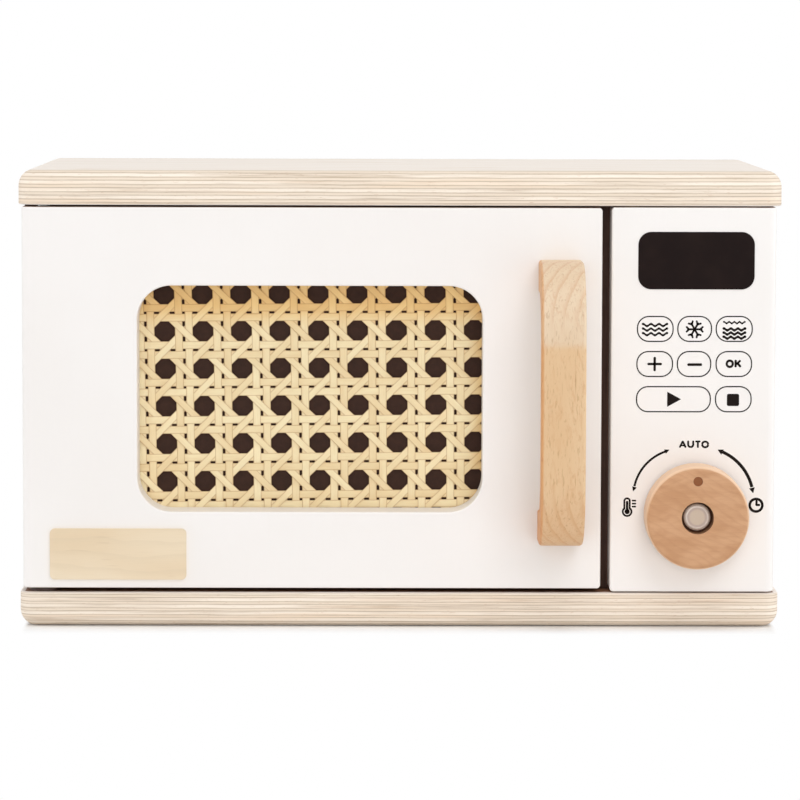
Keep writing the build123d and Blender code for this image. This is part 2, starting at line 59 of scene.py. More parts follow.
GOLDEN = 0.6180339  # steps of the golden section give neighbouring strands tones that differ
log = logging.getLogger("toy_microwave")

Object: TypeAlias = bpy.types.Object
Material: TypeAlias = bpy.types.Material
Colour: TypeAlias = tuple[float, float, float, float]
Triple: TypeAlias = tuple[float, float, float]
Pair: TypeAlias = tuple[float, float]
Value: TypeAlias = "Wire | float"
Shade: TypeAlias = "Wire | Colour"


def seen(red: int, green: int, blue: int) -> Colour:
    """Work out the linear colour of a shade that is given as it looks on a screen.

    Args:
        red: Red from 0 to 255.
        green: Green from 0 to 255.
        blue: Blue from 0 to 255.

    Returns:
        The linear colour with full opacity.
    """
    shares = [value / 255 for value in (red, green, blue)]
    linear = [s / 12.92 if s <= 0.04045 else ((s + 0.055) / 1.055) ** 2.4 for s in shares]
    return (linear[0], linear[1], linear[2], 1.0)


class Grain(Enum):
    """Axis that the fibres of a piece of wood follow."""

    WIDTH = "X"
    HEIGHT = "Z"


def math_node(operation: str, swapped: bool = False) -> Callable[..., "Wire"]:
    """Make a method of a wire that adds the Math node of one operation.

    Args:
        operation: Blender's name for the operation.
        swapped: True if the other value comes first.

    Returns:
        The method, which takes the other value where the operation has one.
    """

    def method(self: "Wire", *others: Value) -> "Wire":
        """Add the Math node."""
        values = (*others, self) if swapped else (self, *others)
        return self.tree.node("Math", {"operation": operation}, dict(enumerate(values)))

    return method


class Wire:
    """Output of a shader node that Python sums can be written on."""

    __add__ = math_node("ADD")
    __radd__ = math_node("ADD", swapped=True)
    __sub__ = math_node("SUBTRACT")
    __mul__ = math_node("MULTIPLY")
    __truediv__ = math_node("DIVIDE")
    __pow__ = math_node("POWER")
    __abs__ = math_node("ABSOLUTE")
    most = math_node("MAXIMUM")
    fract = math_node("FRACT")

    def __init__(self, tree: "Board", socket: bpy.types.NodeSocket) -> None:
        """Keep the node tree and the output socket."""
        self.tree = tree
        self.socket = socket

    def reach(self, other: "Wire") -> "Wire":
        """Give the length of a line from its runs along two axes, this value and another."""
        return (self**2.0 + other**2.0) ** 0.5

    def rise(self, low: float, high: float) -> "Wire":
        """Give a soft step from 0 at the value low to 1 at the value high, which may be the lower one."""
        sockets = {0: self, 1: low, 2: high} if low < high else {0: self, 1: high, 2: low, 3: 1.0, 4: 0.0}
        return self.tree.node("MapRange", {"interpolation_type": "SMOOTHSTEP"}, sockets)


class Board:
    """Node tree to which nodes are added one by one."""

    def __init__(self, tree: bpy.types.NodeTree) -> None:
        """Keep the tree and empty it."""
        self.tree = tree
        tree.nodes.clear()

    def node(
        self,
        kind: str,
        settings: dict[str, object] | None = None,
        sockets: dict[int | str, object] | None = None,
        out: int | str = 0,
    ) -> Wire:
        """Add one node.

        Args:
            kind: Blender's name for the type of node, without ShaderNode.
            settings: The node's own settings, set first.
            sockets: Value or wire for each input, by name or number.
            out: Name or number of the output to go on with.

        Returns:
            The chosen output.
        """
        made = self.tree.nodes.new("ShaderNode" + kind)
        for key, value in (settings or {}).items():
            setattr(made, key, value)
        for key, value in (sockets or {}).items():
            self.feed(made.inputs[key], value)
        return Wire(self, made.outputs[out])

    def feed(self, socket: bpy.types.NodeSocket, value: object) -> None:
        """Link a wire to an input, or set the input to a plain value.

        Args:
            socket: The input.
            value: The wire or the value.
        """
        if isinstance(value, Wire):
            self.tree.links.new(value.socket, socket)
        else:
            socket.default_value = value

    def end(self, kind: str, shader: Wire) -> None:
        """Link the shader to an output node of the given kind, Material or World."""
        self.feed(self.tree.nodes.new("ShaderNodeOutput" + kind).inputs[0], shader)


class FinishTree(Board):
    """Node tree of one material: its shader, and the place on the object in millimetres."""

    def __init__(self, name: str) -> None:
        """Start the material.

        Args:
            name: Its name.
        """
        self.material = bpy.data.materials.new(name)
        self.material.use_nodes = True
        super().__init__(self.material.node_tree)
        self.shader = self.tree.nodes.new("ShaderNodeBsdfPrincipled")
        metres = self.node("TexCoord", out="Object")
        self.place = self.node("VectorMath", {"operation": "SCALE"}, {0: metres, "Scale": 1 / MM})
        self.x, self.y, self.z = (
            self.node("SeparateXYZ", sockets={0: self.place}, out=axis) for axis in "XYZ"
        )

    def noise(
        self, stretch: Triple, detail: float = 2.0, rough: float = 0.5, warp: float = 0.0, seed: float = 0.0
    ) -> Wire:
        """Add a cloud pattern.

        Args:
            stretch: Cycles in a millimetre along X, Y and Z.
            detail: Number of finer layers.
            rough: Share of the finer layers.
            warp: How far the pattern is distorted.
            seed: Offset that gives another part of the pattern.

        Returns:
            A value from 0 to 1, mostly near the middle.
        """
        offset = (seed, seed * 0.7, seed * 1.3)
        scaled = self.node(
            "VectorMath", {"operation": "MULTIPLY_ADD"}, {0: self.place, 1: stretch, 2: offset}
        )
        sockets = {"Vector": scaled, "Scale": 1.0, "Detail": detail, "Roughness": rough, "Distortion": warp}
        return self.node("TexNoise", sockets=sockets)

    def mix(self, share: Value, first: Shade, second: Shade, blend: str = "MIX") -> Wire:
        """Blend a colour with a share, from 0 to 1, of a second one, in Blender's way of the given name."""
        settings = {"data_type": "RGBA", "blend_type": blend}
        return self.node("Mix", settings, {0: share, 6: first, 7: second}, out=2)

    def tint(self, share: Value, base: Shade, tint: Shade) -> Wire:
        """Multiply a colour by another in the given share."""
        return self.mix(share, base, tint, "MULTIPLY")

    def bump(self, height: Wire, relief: float, strength: float) -> Wire:
        """Give the normal bent by a pattern that is relief millimetres high at 1."""
        sockets = {"Strength": strength, "Distance": relief * MM, "Height": height}
        return self.node("Bump", sockets=sockets)

    def dress(
        self,
        colour: Shade,
        rough: Value,
        normal: Wire | None = None,
        gloss: float = 0.5,
        cover: Callable[[Wire], Wire] | None = None,
        **sockets: object,
    ) -> Material:
        """Set sockets of the shader and give the finished material.

        Args:
            colour: Base colour.
            rough: Roughness.
            normal: Bent normal of a surface with relief.
            gloss: Specular level.
            cover: Gives what ends the tree in place of the shader, from the shader.
            **sockets: Value or wire for each further socket, spaces written as underscores.

        Returns:
            The material.
        """
        sockets |= {"Base_Color": colour, "Roughness": rough, "Specular_IOR_Level": gloss}
        if normal:
            sockets["Normal"] = normal
        for key, value in sockets.items():
            self.feed(self.shader.inputs[key.replace("_", " ")], value)
        shader = Wire(self, self.shader.outputs[0])
        self.end("Material", cover(shader) if cover else shader)
        return self.material


@dataclass(frozen=True)
class Finish:
    """Look of one kind of surface."""

    name: str

    def make(self) -> Material:
        """Build the material."""
        raise NotImplementedError


@dataclass(frozen=True)
class PlyEdge(Finish):
    """Clear-lacquered birch plywood: its plies show on the edges, its veneer on the two faces.

    The side that faces the oven is stained dark behind the closed door. Under the door it is a
    warmer brown that darkens towards the back: painted shade in the gaps below and above the door.
    """

    bottom: float
    first: float
    pitch: float
    thickness: float = 15.0
    veneer: float = 0.45
    pale: Colour = seen(251, 239, 224)
    middle: Colour = seen(239, 224, 206)
    glue: Colour = seen(196, 175, 152)
    warm: Colour = seen(243, 219, 193)
    face: Colour = seen(242, 233, 224)
    figure: Colour = seen(226, 209, 190)
    pore: Colour = seen(206, 176, 148)
    # Warm brown that is painted shade in the gap under the closed door.
    stain_and_shade: Colour = seen(158, 112, 84)
    dark: Colour = seen(78, 57, 47)
    inner: float = 15.0
    stain_front: float = -79.6
    stain_side: float = 160.0
    dark_front: float = -74.0
    dark_full: float = -65.0

    def make(self) -> Material:
        """Build the material.

        Returns:
            The material.
        """
        tree = FinishTree(self.name)
        drift = (tree.noise((0.011, 0.011, 0.0), seed=3.1) - 0.5) * 0.5
        drift = drift + (tree.noise((0.06, 0.06, 0.12), detail=3.0, seed=4.7) - 0.5) * 0.45
        height = tree.z - self.bottom + drift
        off = abs(((height - self.first) / self.pitch + 0.5).fract() - 0.5) * self.pitch
        streak = tree.noise((0.05, 0.05, 2.6), detail=4.0, rough=0.65)
        band = tree.mix(streak.rise(0.3, 0.72), self.middle, self.glue)
        half = self.pitch / 2
        core = tree.mix(off.rise(half - 0.1, half - 0.9), self.middle, band)
        share = tree.noise((0.014, 0.014, 0.34), detail=3.0, rough=0.6, seed=12.0)
        edge = tree.mix(off.rise(0.85, 0.5) * share.rise(0.3, 0.58), core, self.pale)
        glow = tree.noise((0.01, 0.01, 0.3), seed=15.0)
        edge = tree.mix(glow.rise(0.5, 0.72) * 0.5, edge, self.warm)
        line = off.rise(0.6, 0.8) * off.rise(1.15, 0.95)
        broken = tree.noise((0.022, 0.022, 0.5), detail=4.0, rough=0.65, seed=8.0)
        edge = tree.mix(line * (broken.rise(0.34, 0.64) * 0.74 + 0.2), edge, self.glue)
        pore = tree.noise((0.35, 0.35, 5.0), detail=1.0, seed=5.0).rise(0.69, 0.76)
        edge = tree.tint(pore * 0.55, edge, self.pore)
        fibre = tree.noise((0.012, 0.9, 0.3), detail=4.0, rough=0.6, seed=1.7)
        ring = (tree.y * 0.06 + (tree.noise((0.006, 0.03, 0.02), seed=6.0) - 0.5) * 4.0).fract()
        veneer = tree.mix(ring.rise(0.5, 0.95) * ring.rise(1.0, 0.93) * 0.35, self.face, self.figure)
        veneer = tree.mix(fibre.rise(0.45, 0.75) * 0.5, veneer, self.figure)
        outer = abs(tree.z - self.bottom - self.thickness / 2)
        below_skin = self.thickness / 2 - self.veneer
        skin = outer.rise(below_skin, below_skin + 0.08)
        seam = outer.rise(6.75, 6.95) * outer.rise(7.2, 7.0)
        colour = tree.mix(seam * 0.5, edge, self.glue)
        colour = tree.mix(skin, colour, veneer)
        # Painted shade: warm brown under the closed door, darker towards the back; behind it the dark
        # stain.
        across = abs(tree.x).rise(self.stain_side, self.stain_side - 0.4)
        covered = tree.y.rise(self.stain_front, self.stain_front + 0.4) * across
        recess_shade = tree.y.rise(self.dark_front, self.dark_full) * (0.88 + fibre.rise(0.4, 0.7) * 0.12)
        brown = tree.mix(recess_shade, self.stain_and_shade, self.dark)
        colour = tree.mix(covered * abs(tree.z - self.inner).rise(0.3, 0.2), colour, brown)
        relief = tree.noise((0.05, 0.05, 3.5), detail=3.0, seed=2.0)
        return tree.dress(colour, 0.46 + streak * 0.14, tree.bump(relief, 0.05, 0.6), gloss=0.22)


@dataclass(frozen=True)
class Paint(Finish):
    """Satin white paint on a board.

    A board may be stained brown on the side that faces the oven, which lies beyond the place edge on
    the axis of the given name, in the direction of side. The same brown goes on all that lies before
    the place front, as painted shade in the gap between it and the door.
    Its ends, which are its lowest and highest place, may be bare board in a dark brown that is also
    painted shade in the gaps above and below it.
    """

    coat: Colour = seen(247, 243, 240)
    shadow: Colour = seen(243, 238, 234)
    stain_and_shade: Colour = seen(66, 45, 37)
    streak: Colour = seen(46, 31, 26)
    bare_end_and_shade: Colour = seen(150, 112, 88)
    axis: str = ""
    edge: float = 0.0
    side: int = 1
    front: float = -200.0
    ends: Pair | None = None

    def make(self) -> Material:
        """Build the material.

        Returns:
            The material.
        """
        tree = FinishTree(self.name)
        cloud = tree.noise((0.012, 0.012, 0.012), seed=4.0)
        brush = tree.noise((0.9, 0.9, 0.06), detail=3.0, rough=0.55)
        orange_peel = tree.noise((1.6, 1.6, 1.6), seed=9.0)
        share = cloud.rise(0.35, 0.7) * 0.55 + brush.rise(0.5, 0.8) * 0.12
        colour = tree.mix(share, self.coat, self.shadow)
        rough = 0.38 + brush * 0.12
        if self.axis:
            place = {"x": tree.x, "y": tree.y}[self.axis]
            inside = place.rise(self.edge - 0.04 * self.side, self.edge + 0.04 * self.side)
            # Painted shade: the brown also goes on the board's front edge, in the gap behind the door.
            inside = inside.most(tree.y.rise(self.front + 0.2, self.front))
            streak = tree.noise((0.5, 0.5, 0.02), detail=4.0, seed=2.0)
            stained = tree.mix(streak.rise(0.35, 0.7), self.stain_and_shade, self.streak)
            colour = tree.mix(inside, colour, stained)
            rough = rough + inside * 0.12
        # Bare ends in a dark brown, partly the bare board and partly painted shade in the gaps.
        if self.ends:
            low, high = self.ends
            bare_end_and_shade = tree.z.rise(high - 0.14, high - 0.08).most(tree.z.rise(low + 0.14, low + 0.08))
            colour = tree.mix(bare_end_and_shade, colour, self.bare_end_and_shade)
            rough = rough + bare_end_and_shade * 0.2
        relief = orange_peel * 0.6 + brush * 0.4
        return tree.dress(colour, rough, tree.bump(relief, 0.03, 0.5), gloss=0.4)


@dataclass(frozen=True)
class SolidWood(Finish):
    """Oiled solid wood: growth rings cut by the shape, fibres, flecks and softer patches."""

    pale: Colour
    warm: Colour
    ring: Colour
    fleck: Colour
    grain: Grain
    across: Triple
    wander: float = 0.5
    ring_share: float = 0.5
    fleck_share: float = 0.5
    figure: float = 0.03
    rough: float = 0.5
    seed: float = 0.0
    ring_start: float = 0.35

    def rings(self, tree: FinishTree) -> Value:
        """Give the strength of the growth rings, which may change over the piece."""
        return self.ring_share

    def stretch(self, cycles: float, share: float) -> Triple:
        """Give a pattern's cycles in a millimetre, with only a share of them along the fibres."""
        return tuple(cycles * (share if axis == self.grain.value else 1.0) for axis in "XYZ")

    def start(self) -> tuple[FinishTree, Wire, Wire]:
        """Build the wood's colour.

        Returns:
            The tree, the colour and the fibre pattern.
        """
        tree = FinishTree(self.name)
        across = self.stretch(self.figure, 0.35)
        patch = tree.noise(across, detail=3.0, rough=0.55, warp=0.4, seed=self.seed)
        fibre = tree.noise(self.stretch(2.2, FIBRE_SHARE), detail=4.0, rough=0.6, seed=self.seed + 4)
        bend = tree.noise(self.stretch(0.07, 0.5), seed=self.seed + 7) - 0.5
        along_x, along_y, along_z = (axis * a for axis, a in zip((tree.x, tree.y, tree.z), self.across))
        count = (along_x + along_y + along_z + bend * self.wander + 40.0).fract()
        late = count.rise(self.ring_start, 0.93) ** 1.6 * count.rise(1.0, 0.94)
        fleck = tree.noise(self.stretch(1.3, 1.6 * FIBRE_SHARE), detail=1.0, seed=self.seed + 2)
        colour = tree.mix(patch.rise(0.36, 0.66), self.pale, self.warm)
        colour = tree.mix(late * self.rings(tree), colour, self.ring)
        colour = tree.mix(fibre.rise(0.45, 0.8) * 0.22, colour, self.ring)
        colour = tree.mix(fleck.rise(0.68, 0.78) * self.fleck_share, colour, self.fleck)
        return tree, colour, fibre

    def end(self, tree: FinishTree, colour: Wire, fibre: Wire) -> Material:
        """Put the wood's colour on its shader and give the material."""
        return tree.dress(colour, self.rough + fibre * 0.12, tree.bump(fibre, 0.04, 0.5), gloss=0.35)

    def make(self) -> Material:
        """Build the material."""
        return self.end(*self.start())


@dataclass(frozen=True)
class HandleWood(SolidWood):
    """Wood of the handle: rings show where its ends are cut round, and curly flecks between them."""

    middle: float = 97.0
    plain: Pair = (28.0, 46.0)
    joint: float = 123.2
    foot: Pair = (75.0, 45.0)
    left: float = 58.7
    below: Colour = seen(252, 240, 222)
    low: Colour = seen(247, 234, 226)
    # Tint of the painted shade on the handle's left side face.
    side: Colour = seen(247, 218, 192)

    def rings(self, tree: FinishTree) -> Wire:
        """Give the strength of the growth rings, which fades towards the middle."""
        return abs(tree.z - self.middle).rise(*self.plain) * self.ring_share

    def make(self) -> Material:
        """Build the material.

        Returns:
            The material.
        """
        tree, colour, fibre = self.start()
        curl = tree.noise((0.5, 0.3, 0.13), detail=3.0, rough=0.6, warp=1.4, seed=31.0)
        dash = tree.noise((1.3, 1.0, 0.26), warp=0.6, seed=33.0)
        colour = tree.mix(curl.rise(0.5, 0.7) * 0.46, colour, self.ring)
        colour = tree.mix(dash.rise(0.58, 0.7) * 0.42, colour, self.fleck)
        colour = tree.tint(tree.z.rise(self.joint + 2.2, self.joint - 2.2), colour, self.below)
        colour = tree.tint(tree.z.rise(*self.foot) * 0.35, colour, self.low)
        # Painted shade: the handle's left side face is tinted darker and warmer than its front.
        colour = tree.tint(tree.x.rise(self.left + 1.3, self.left + 0.5), colour, self.side)
        return self.end(tree, colour, fibre)


@dataclass(frozen=True)
class DialWood(SolidWood):
    """Wood of the dial, with a burnt pointer dot, painted shade in the cup round the axle, a painted
    highlight on the top of its rounded rim and its side painted paler all round as painted light.
    """

    dot: float = 15.6
    dot_radius: float = 2.0
    cup_radius: float = 6.8
    face: float = -100.3
    radius: float = 21.9
    # Paler colour of the painted highlight on the rim and the painted light on the side.
    worn_and_highlight: Colour = seen(246, 214, 182)
    burn: Colour = seen(142, 86, 48)
    # Painted shade in the cup round the axle.
    cup_shade: Colour = seen(92, 56, 34)

    def make(self) -> Material:
        """Build the material.

        Returns:
            The material.
        """
        tree, colour, fibre = self.start()
        away_x, away_z = tree.x - DIAL[0], tree.z - DIAL[1]
        to_dot = away_x.reach(away_z - self.dot)
        to_axis = away_x.reach(away_z)
        colour = tree.mix(to_dot.rise(self.dot_radius + 0.1, self.dot_radius - 0.1), colour, self.burn)
        # Painted shade: the cup round the axle is darkened.
        sunk = to_axis.rise(self.cup_radius + 0.05, self.cup_radius - 0.05)
        recess_shade = tree.y.rise(self.face + 0.3, self.face + 1.2)
        colour = tree.mix(sunk * recess_shade, colour, self.cup_shade)
        # Painted highlight on the upper part of the rounded rim.
        edge = to_axis.rise(self.radius - 1.1, self.radius - 0.7)
        edge = edge * tree.y.rise(self.face + 1.6, self.face + 1.0) * away_z.rise(-6.0, 16.0)
        colour = tree.mix(edge * 0.6, colour, self.worn_and_highlight)
        # Painted light: the knob's side is paler all round.
        wall = to_axis.rise(self.radius - 0.7, self.radius - 0.2)
        colour = tree.mix(wall * 0.7, colour, self.worn_and_highlight)
        return self.end(tree, colour, fibre)


@dataclass(frozen=True)
class SatinCap(Finish):
    """Satin nickel of the axle's cap: beige in the middle, then a greyer band and a bright rim in rings
    all round, which are painted reflections.
    """

    name: str = "satin_cap"
    middle: Colour = seen(214, 193, 172)
    # Painted reflections: the greyer band and the bright rim.
    band: Colour = seen(198, 176, 164)
    rim: Colour = seen(255, 244, 232)

    def make(self) -> Material:
        """Build the material.

        Returns:
            The material.
        """
        tree = FinishTree(self.name)
        away = (tree.x - DIAL[0]).reach(tree.z - DIAL[1])
        grain = tree.noise((0.3, 0.3, 0.3), detail=3.0)
        # Painted reflections: a greyer band and a bright rim round the cap's middle.
        colour = tree.mix(away.rise(2.9, 3.7), self.middle, self.band)
        colour = tree.mix(away.rise(3.9, 4.7), colour, self.rim)
        return tree.dress(colour, 0.24 + grain * 0.12, tree.bump(grain, 0.02, 0.3), Metallic=0.25)


@dataclass(frozen=True)
class Cane(Finish):
    """Split cane: glossy skin with fine streaks along each strand, browner edges, and painted shade of
    the window's top and right reveals.
    """

    name: str = "woven_cane"
    skin: Colour = seen(247, 230, 187)
    straw: Colour = seen(229, 199, 147)
    edge: Colour = seen(178, 130, 76)
    # Darker golden tint that is painted shade of the window's top and right reveals.
    golden: Colour = seen(252, 231, 194)
    reveal_shade_top: Pair = (125.0, 137.5)
    reveal_shade_right: Pair = (28.5, 36.0)

    def make(self) -> Material:
        """Build the material. Its UV map gives -1 to 1 across each strand and millimetres along it.

        Returns:
            The material.
        """
        tree = FinishTree(self.name)
        place = tree.node("UVMap", {"uv_map": "UVMap"})
        across = tree.node("SeparateXYZ", sockets={0: place}, out="X")
        tone = tree.node("Attribute", {"attribute_name": "tone"}, out="Fac")
        patterns = []
        for stretch, detail in (((5.6, 0.07, 1.0), 4.0), ((0.4, 0.09, 1.0), 2.0)):
            run = tree.node("VectorMath", {"operation": "MULTIPLY"}, {0: place, 1: stretch})
            patterns.append(
                tree.node("TexNoise", sockets={"Vector": run, "Scale": 1.0, "Detail": detail})
            )
        streak, spot = patterns
        colour = tree.mix(tone * 0.55 + (spot - 0.5) * 0.8, self.skin, self.straw)
        colour = tree.mix(streak.rise(0.48, 0.78) * 0.5, colour, self.straw)
        colour = tree.mix(abs(across).rise(0.72, 1.02) * 0.7, colour, self.edge)
        # Painted shade of the window's top and right reveals on the cane.
        colour = tree.tint(tree.z.rise(*self.reveal_shade_top), colour, self.golden)
        colour = tree.tint(tree.x.rise(*self.reveal_shade_right) * 0.8, colour, self.golden)
        normal = tree.bump(streak, 0.05, 0.5)
        return tree.dress(colour, 0.36 + streak * 0.2, normal, Coat_Weight=0.15, Coat_Roughness=0.3)


@dataclass(frozen=True)
class Plain(Finish):
    """Even finish with a light mottle, for print, plastic, hardboard, metal and stained wood."""

    colour: Colour
    other: Colour
    rough: float
    mottle: Triple
    relief: float = 0.02
    metal: float = 0.0
    gloss: float = 0.5

    def make(self) -> Material:
        """Build the material.

        Returns:
            The material.
        """
        tree = FinishTree(self.name)
        cloud = tree.noise(self.mottle, detail=3.0, rough=0.6)
        fine = tree.noise(tuple(4 * m for m in self.mottle), seed=3.0)
        colour = tree.mix(cloud.rise(0.35, 0.68), self.colour, self.other)
        rough = self.rough + (fine - 0.5) * 0.12
        return tree.dress(colour, rough, tree.bump(fine, self.relief, 0.4), self.gloss, Metallic=self.metal)


class Bench:
    """Modelling by hand: each tool is one operator on the objects or faces that are picked."""

    @staticmethod
    def take(*objects: Object) -> Object:
        """Pick these objects and nothing else.

        Args:
            *objects: Objects to pick, the first one as the active object.

        Returns:
            The active object.
        """
        bpy.ops.object.select_all(action="DESELECT")
        for item in objects:
            item.select_set(True)
        bpy.context.view_layer.objects.active = objects[0]
        return objects[0]

    @staticmethod
    def grid(width: float, length: float, columns: int, rows: int) -> Object:
        """Add a flat grid at the origin that looks up.

        Args:
            width: Size along X in millimetres.
            length: Size along Y in millimetres.
            columns: Number of faces along X.
            rows: Number of faces along Y.

        Returns:
            The grid.
        """
        bpy.ops.mesh.primitive_grid_add(x_subdivisions=columns, y_subdivisions=rows, size=1.0)
        made = bpy.context.active_object
        made.scale = (width * MM, length * MM, 1.0)
        bpy.ops.object.transform_apply(location=False, rotation=False, scale=True)
        return made

    @staticmethod
    def pick_points(made: Object, test: Callable[[Vector], bool]) -> None:
        """Select points of the edited mesh.

        Args:
            made: Object whose mesh is edited.
            test: Says whether a point is selected, from its place in millimetres.
        """
        mesh = bmesh.from_edit_mesh(made.data)
        mesh.select_mode = {"VERT"}
        for point in mesh.verts:
            point.select = test(point.co / MM)
        mesh.select_flush(True)
        mesh.select_flush(False)
        bmesh.update_edit_mesh(made.data)

    @staticmethod
    def edit(made: Object, everything: bool = True) -> None:
        """Open a mesh for editing.

        Args:
            made: Object whose mesh is edited.
            everything: True if all of it is selected, False if nothing is.
        """
        Bench.take(made)
        bpy.ops.object.mode_set(mode="EDIT")
        bpy.ops.mesh.select_all(action="SELECT" if everything else "DESELECT")

    @staticmethod
    def close() -> None:
        """Leave edit mode."""
        bpy.ops.object.mode_set(mode="OBJECT")

    @staticmethod
    def raise_points(made: Object, heights: Callable[[Vector], float]) -> None:
        """Move groups of points up, one group for each height.

        Args:
            made: Object whose mesh is shaped.
            heights: Height in millimetres for a point at rest, from its place in millimetres.
        """
        Bench.edit(made, everything=False)
        start = {point.index: point.co / MM for point in bmesh.from_edit_mesh(made.data).verts}
        wanted = {index: round(heights(place), 3) for index, place in start.items()}
        for level in sorted(set(wanted.values()) - {0.0}):
            mesh = bmesh.from_edit_mesh(made.data)
            for point in mesh.verts:
                point.select = wanted[point.index] == level
            bmesh.update_edit_mesh(made.data)
            bpy.ops.transform.translate(value=(0.0, 0.0, level * MM))
        Bench.close()

    @staticmethod
    def thicken(made: Object, thickness: float, outwards: bool) -> None:
        """Give a sheet its thickness.

        Args:
            made: Sheet of faces.
            thickness: Thickness in millimetres.
            outwards: True if the wall grows to the side that the faces look at.
        """
        Bench.take(made)
        solidify = made.modifiers.new("wall", "SOLIDIFY")
        solidify.thickness = thickness * MM
        solidify.offset = 1.0 if outwards else -1.0
        bpy.ops.object.modifier_apply(modifier=solidify.name)

    @staticmethod
    def upright(x: float, y: float, z: float, turn: float = 0.0) -> Matrix:
        """Give the place of a flat shape that looks up and shall look forward, turned in its plane."""
        place = Matrix.Translation(Vector((x, y, z)) * MM)
        return place @ Matrix.Rotation(math.pi / 2, 4, "X") @ Matrix.Rotation(turn, 4, "Z")

    @staticmethod
    def settle(*objects: Object) -> None:
        """Put the places of objects into their meshes."""
        Bench.take(*objects)
        bpy.ops.object.transform_apply(location=True, rotation=True, scale=True)

    @staticmethod
    def join(name: str, objects: Sequence[Object]) -> Object:
        """Join objects into one and name it.

        Args:
            name: Name of the piece.
            objects: Objects to join. The first one is kept.

        Returns:
            The joined object.
        """
        joined = Bench.take(*objects)
        bpy.ops.object.join()
        joined.name = joined.data.name = name
        return joined

    @staticmethod
    def cut(made: Object, place: Triple, normal: Triple, close: bool = True) -> None:
        """Cut off what lies beyond a plane.

        Args:
            made: Object to cut.
            place: Point of the plane in millimetres.
            normal: Direction in which all is cut off.
            close: True if the cut is closed with faces.
        """
        Bench.edit(made)
        bpy.ops.mesh.bisect(
            plane_co=tuple(value * MM for value in place),
            plane_no=normal,
            use_fill=close,
            clear_outer=True,
        )
        Bench.close()

    @staticmethod
    def finish(made: Object, material: Material, body: str, slot: str) -> None:
        """Dress a finished piece and let it ride on its body.

        Args:
            made: The finished piece.
            material: Its material.
            body: Name of the CAD body that carries it.
            slot: Name of the record's material slot; not used.
        """
        made.data.materials.clear()
        made.data.materials.append(material)
        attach(made, body)
        log.info("%s rides on %s, %d faces", made.name, body, len(made.data.polygons))


Dressing: TypeAlias = tuple[tuple[Finish, tuple[str, ...]], ...]


@dataclass
class Group:
    """Group of CAD nodes. Its table gives each finish with the nodes that share it."""

    finishes: Dressing = ()

    def build(self) -> None:
        """Give each node its finish."""
        for finish, nodes in self.finishes:
            material = finish.make()
            for name in nodes:
                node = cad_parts[name]
                node.data.materials.clear()
                node.data.materials.append(material)
                log.info("%s dressed in %s", name, material.name)


@dataclass
class Case(Group):
    """Two plywood slabs with the painted and stained boards between them."""

    finishes: Dressing = (
        (PlyEdge("birch_ply_top", bottom=180.0, first=3.25, pitch=3.12, inner=180.0), ("top_slab",)),
        (PlyEdge("birch_ply_base", bottom=0.0, first=3.2, pitch=2.87), ("base_slab",)),
        # The left side's front edge is brown as painted shade in the gap behind the door.
        (Paint("paint_left_side", axis="x", edge=-148.6, front=-61.6), ("left_side_panel",)),
        (Paint("paint_back", axis="y", edge=76.1, side=-1), ("back_panel",)),
        (Paint("white_paint"), ("right_side_panel",)),
        # The ends of door and panel are dark brown: bare board and painted shade in the gaps by the slabs.
        (Paint("paint_door", ends=(16.8, 179.2)), ("door_panel",)),
        (Paint("paint_panel", ends=(15.5, 179.5)), ("control_panel",)),
        (Plain(
            "brown_stain", seen(104, 76, 64), seen(84, 60, 50), 0.55, (0.9, 0.9, 0.03), 0.03, gloss=0.25
        ), ("divider_panel",)),
    )


